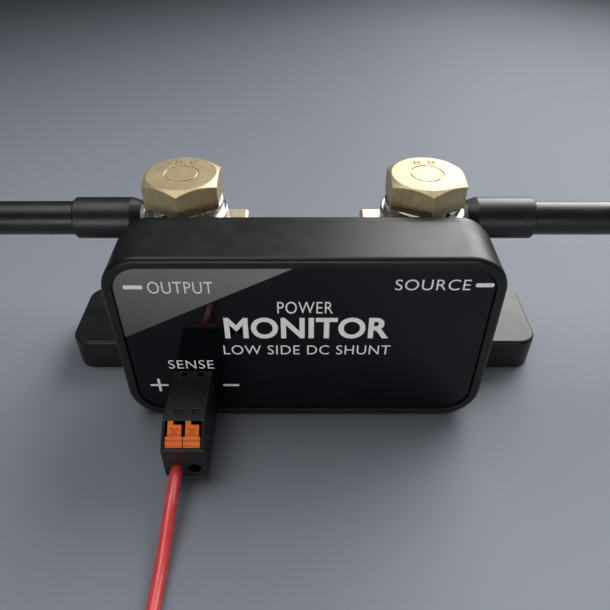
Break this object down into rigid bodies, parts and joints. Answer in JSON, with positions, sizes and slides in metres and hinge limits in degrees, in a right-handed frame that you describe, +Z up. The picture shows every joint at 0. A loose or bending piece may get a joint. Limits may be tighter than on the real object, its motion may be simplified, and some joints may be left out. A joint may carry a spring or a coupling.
{
  "type": "battery monitor shunt",
  "caption": "Current shunt in a dark rectangular housing with mounting ears, brass terminal blocks with hexagon bolts, lugged power cables and a pluggable sense connector.",
  "frame": {"origin": "centre of the pattern of two mounting holes, on the underside of the base", "axes": "+Z up out of the mounting surface, +X to the right as seen from the panel, along the line of the mounting holes and of the two power cables, -Y towards the person who looks at the panel"},
  "size_m": [0.2484, 0.1516, 0.0512],
  "materials": {
    "base_plastic": "satin moulded black plastic with a fine grain",
    "housing_plastic": "satin moulded dark grey plastic",
    "panel_gloss": "glossy black sheet with light grey print",
    "tape": "foam adhesive tape",
    "seal_rubber": "soft black rubber",
    "screw_steel": "zinc plated steel",
    "brass": "pale milled brass",
    "bolt_brass": "pale yellow-passivated steel with tool marks",
    "washer_steel": "plated steel",
    "manganin": "dull copper-brown rolled strip",
    "lug_metal": "tinned copper",
    "shrink_black": "satin black heat-shrink sleeve",
    "cable_black": "matte black cable jacket",
    "copper": "bare stranded copper",
    "board_green": "solder-masked glass-fibre board",
    "chip_black": "moulded chip package",
    "shield_metal": "pressed nickel-silver can",
    "capacitor_tan": "ceramic body with tinned ends",
    "plug_plastic": "dark moulded polyamide",
    "contact_metal": "tinned copper alloy",
    "spring_steel": "bright spring steel",
    "lever_orange": "orange moulded polyamide",
    "wire_red": "red wire insulation",
    "tie_black": "black tie strip"
  },
  "bodies": {
    "base": {"base_frame": "base_plastic", "housing_shell": "housing_plastic", "front_panel": "panel_gloss", "panel_tape": "tape", "shell_gasket": "seal_rubber", "shell_screws": "screw_steel", "manganin_strips": "manganin", "block_screws": "screw_steel", "sense_posts": "brass", "sense_screws": "screw_steel", "circuit_board": "board_green", "microcontroller": "chip_black", "current_amplifier": "chip_black", "voltage_regulator": "chip_black", "wireless_module": "board_green", "module_shield": "shield_metal", "board_capacitors": "capacitor_tan", "header_socket": "plug_plastic", "header_pins": "contact_metal", "brass_block_left": "brass", "flat_washer_left": "washer_steel", "cable_lug_left": "lug_metal", "heat_shrink_left": "shrink_black", "far_lug_left": "lug_metal", "far_heat_shrink_left": "shrink_black", "cable_left": "cable_black", "cable_core_left": "copper", "brass_block_right": "brass", "flat_washer_right": "washer_steel", "cable_lug_right": "lug_metal", "heat_shrink_right": "shrink_black", "far_lug_right": "lug_metal", "far_heat_shrink_right": "shrink_black", "cable_right": "cable_black", "cable_core_right": "copper"},
    "plug": {"plug_body": "plug_plastic", "plug_contacts": "contact_metal", "clamp_springs": "spring_steel", "wire_core": "copper", "sense_wire": "wire_red", "sense_wire_coil": "wire_red", "coil_tie": "tie_black", "ring_terminal": "lug_metal"},
    "lever_plus": {"release_lever_plus": "lever_orange"},
    "lever_minus": {"release_lever_minus": "lever_orange"},
    "washer_left": {"spring_washer_left": "washer_steel"},
    "washer_right": {"spring_washer_right": "washer_steel"},
    "bolt_left": {"terminal_bolt_left": "bolt_brass"},
    "bolt_right": {"terminal_bolt_right": "bolt_brass"}
  },
  "joints": [
    {"name": "plug_slide", "type": "slide", "parent": "base", "child": "plug", "axis": [0, -1, 0], "range_m": [0, 0.008]},
    {"name": "lever_plus_press", "type": "slide", "parent": "plug", "child": "lever_plus", "axis": [0, 0.5975, -0.8019], "range_m": [0, 0.001], "stiffness_N_per_m": 500},
    {"name": "lever_minus_press", "type": "slide", "parent": "plug", "child": "lever_minus", "axis": [0, 0.5975, -0.8019], "range_m": [0, 0.001], "stiffness_N_per_m": 500},
    {"name": "bolt_left_lift", "type": "slide", "parent": "base", "child": "washer_left", "axis": [0, 0, 1], "range_m": [0, 0.006]},
    {"name": "bolt_left_turn", "type": "hinge", "parent": "washer_left", "child": "bolt_left", "pos_m": [-0.0282, 0, 0.0448], "axis": [0, 0, 1], "range_deg": [0, 1440]},
    {"name": "bolt_right_lift", "type": "slide", "parent": "base", "child": "washer_right", "axis": [0, 0, 1], "range_m": [0, 0.006]},
    {"name": "bolt_right_turn", "type": "hinge", "parent": "washer_right", "child": "bolt_right", "pos_m": [0.0282, 0, 0.0448], "axis": [0, 0, 1], "range_deg": [0, 1440]}
  ],
  "couplings": [
    {"joint": "bolt_left_turn", "follows": "bolt_left_lift", "rad_per_m": 4188.8},
    {"joint": "bolt_right_turn", "follows": "bolt_right_lift", "rad_per_m": 4188.8}
  ]
}
